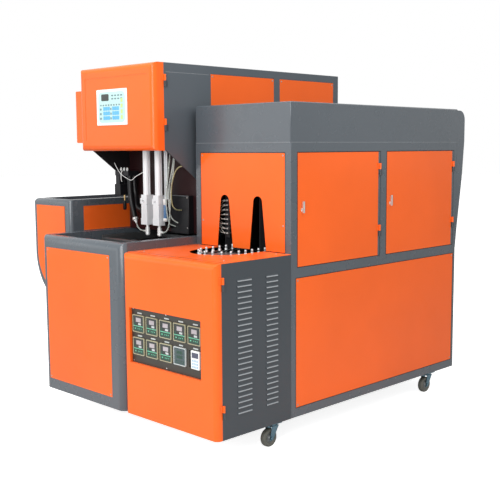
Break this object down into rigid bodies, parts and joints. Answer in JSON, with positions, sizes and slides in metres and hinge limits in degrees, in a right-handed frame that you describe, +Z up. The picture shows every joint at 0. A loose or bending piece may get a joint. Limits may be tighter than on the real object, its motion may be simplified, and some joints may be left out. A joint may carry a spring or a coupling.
{
  "type": "blow moulding machine",
  "caption": "Semi-automatic stretch blow moulding machine for plastic bottles: mould bed with overhead blowing head, and an infrared preform oven with chain conveyor and control cabinet.",
  "frame": {"origin": "middle of the footprint, on the floor under the caster wheels", "axes": "+X to the operator's right towards the oven, +Y away from the operator, +Z up"},
  "size_m": [1.962, 2.26, 2.077],
  "materials": {
    "orange_paint": "orange powder coat, semi-gloss",
    "grey_paint": "dark grey powder coat, satin",
    "dark_steel": "oiled dark steel",
    "bright_steel": "ground steel",
    "chrome": "bright plated",
    "aluminium": "anodised aluminium",
    "black_plastic": "matt black",
    "pale_plastic": "pale gloss",
    "clear_plastic": "milky tube",
    "black_rubber": "black rubber hose",
    "wheel_rubber": "dark grey tread",
    "ceramic": "white ceramic",
    "quartz": "quartz tube"
  },
  "bodies": {
    "frame": {"bed_frame": "grey_paint", "bed_panels": "orange_paint", "side_box_frame": "grey_paint", "side_box_panels": "orange_paint", "air_receiver": "grey_paint", "head_frame": "grey_paint", "head_panels": "orange_paint", "head_left_cover": "orange_paint", "stretch_cylinders": "aluminium", "seal_cylinders": "aluminium", "guide_shafts": "bright_steel", "valve_box": "black_plastic", "air_valve_block": "black_plastic", "black_hoses": "black_rubber", "clear_hoses": "clear_plastic", "clamp_plates": "dark_steel", "tie_bars": "bright_steel", "mould_front_half": "bright_steel", "clamp_cylinder": "aluminium", "control_cabinet": "grey_paint", "table_plate": "orange_paint", "heater_frame": "grey_paint", "heater_hood": "grey_paint", "heater_front_panel": "orange_paint", "heater_lower_panel": "orange_paint", "rear_cowl": "grey_paint", "lamp_banks": "aluminium", "infrared_lamps": "quartz", "lamp_terminals": "ceramic", "conveyor_chain": "dark_steel", "preform_mandrels": "bright_steel", "chain_guide": "dark_steel", "gear_motor": "grey_paint", "caster_plates": "bright_steel", "panel_screws": "bright_steel", "hinge_pins": "dark_steel"},
    "control_door": {"control_door": "orange_paint", "instrument_panel": "black_plastic", "panel_instruments": "black_plastic"},
    "head_door": {"head_door": "orange_paint", "keypad": "pale_plastic"},
    "heater_door_1": {"heater_door_1": "orange_paint"},
    "heater_door_2": {"heater_door_2": "orange_paint"},
    "door_latch_1": {"door_latch_1": "chrome"},
    "door_latch_2": {"door_latch_2": "chrome"},
    "clamp": {"moving_platen": "dark_steel", "mould_rear_half": "bright_steel"},
    "nozzle_1": {"blow_nozzle_1": "chrome"},
    "nozzle_2": {"blow_nozzle_2": "chrome"},
    "crosshead": {"stretch_crosshead": "bright_steel"},
    "front_sprocket": {"front_sprocket": "dark_steel"},
    "rear_sprocket": {"rear_sprocket": "dark_steel"},
    "caster_fork_1": {"caster_fork_1": "bright_steel"},
    "caster_wheel_1": {"caster_wheel_1": "wheel_rubber"},
    "caster_fork_2": {"caster_fork_2": "bright_steel"},
    "caster_wheel_2": {"caster_wheel_2": "wheel_rubber"},
    "caster_fork_3": {"caster_fork_3": "bright_steel"},
    "caster_wheel_3": {"caster_wheel_3": "wheel_rubber"},
    "caster_fork_4": {"caster_fork_4": "bright_steel"},
    "caster_wheel_4": {"caster_wheel_4": "wheel_rubber"}
  },
  "joints": [
    {"name": "control_door_hinge", "type": "hinge", "parent": "frame", "child": "control_door", "pos_m": [0.975, -1.074, 0.58], "axis": [0, 0, 1], "range_deg": [0, 110]},
    {"name": "head_door_hinge", "type": "hinge", "parent": "frame", "child": "head_door", "pos_m": [0.1865, -0.766, 1.83], "axis": [0, 0, 1], "range_deg": [0, 110]},
    {"name": "heater_door_1_hinge", "type": "hinge", "parent": "frame", "child": "heater_door_1", "pos_m": [0.975, 0.204, 1.26], "axis": [0, 0, 1], "range_deg": [0, 110]},
    {"name": "heater_door_2_hinge", "type": "hinge", "parent": "frame", "child": "heater_door_2", "pos_m": [0.975, 0.998, 1.26], "axis": [0, 0, 1], "range_deg": [0, 110]},
    {"name": "latch_1_turn", "type": "hinge", "parent": "heater_door_1", "child": "door_latch_1", "pos_m": [0.969, -0.479, 1.261], "axis": [1, 0, 0], "range_deg": [0, 90]},
    {"name": "latch_2_turn", "type": "hinge", "parent": "heater_door_2", "child": "door_latch_2", "pos_m": [0.969, 0.315, 1.261], "axis": [1, 0, 0], "range_deg": [0, 90]},
    {"name": "clamp_slide", "type": "slide", "parent": "frame", "child": "clamp", "axis": [0, -1, 0], "range_m": [0, 0.1797]},
    {"name": "nozzle_1_slide", "type": "slide", "parent": "frame", "child": "nozzle_1", "axis": [0, 0, -1], "range_m": [0, 0.064]},
    {"name": "nozzle_2_slide", "type": "slide", "parent": "frame", "child": "nozzle_2", "axis": [0, 0, -1], "range_m": [0, 0.064]},
    {"name": "stretch_slide", "type": "slide", "parent": "frame", "child": "crosshead", "axis": [0, 0, -1], "range_m": [0, 0.3]},
    {"name": "rear_sprocket_spin", "type": "hinge", "parent": "frame", "child": "rear_sprocket", "pos_m": [0.591, 0.809, 1], "axis": [0, 0, 1], "continuous": true, "deforming": ["conveyor_chain"]},
    {"name": "front_sprocket_spin", "type": "hinge", "parent": "frame", "child": "front_sprocket", "pos_m": [0.591, -0.715, 1], "axis": [0, 0, 1], "continuous": true},
    {"name": "caster_1_swivel", "type": "hinge", "parent": "frame", "child": "caster_fork_1", "pos_m": [0.927, -0.675, 0.11], "axis": [0, 0, 1], "continuous": true},
    {"name": "caster_1_roll", "type": "hinge", "parent": "caster_fork_1", "child": "caster_wheel_1", "pos_m": [0.927, -0.705, 0.05], "axis": [1, 0, 0], "continuous": true},
    {"name": "caster_2_swivel", "type": "hinge", "parent": "frame", "child": "caster_fork_2", "pos_m": [0.927, 0.798, 0.11], "axis": [0, 0, 1], "continuous": true},
    {"name": "caster_2_roll", "type": "hinge", "parent": "caster_fork_2", "child": "caster_wheel_2", "pos_m": [0.927, 0.768, 0.05], "axis": [1, 0, 0], "continuous": true},
    {"name": "caster_3_swivel", "type": "hinge", "parent": "frame", "child": "caster_fork_3", "pos_m": [-0.537, -0.675, 0.11], "axis": [0, 0, 1], "continuous": true},
    {"name": "caster_3_roll", "type": "hinge", "parent": "caster_fork_3", "child": "caster_wheel_3", "pos_m": [-0.537, -0.705, 0.05], "axis": [1, 0, 0], "continuous": true},
    {"name": "caster_4_swivel", "type": "hinge", "parent": "frame", "child": "caster_fork_4", "pos_m": [-0.537, 0.722, 0.11], "axis": [0, 0, 1], "continuous": true},
    {"name": "caster_4_roll", "type": "hinge", "parent": "caster_fork_4", "child": "caster_wheel_4", "pos_m": [-0.537, 0.692, 0.05], "axis": [1, 0, 0], "continuous": true}
  ],
  "couplings": [
    {"joint": "nozzle_2_slide", "follows": "nozzle_1_slide", "ratio": 1},
    {"joint": "front_sprocket_spin", "follows": "rear_sprocket_spin", "ratio": 1}
  ]
}
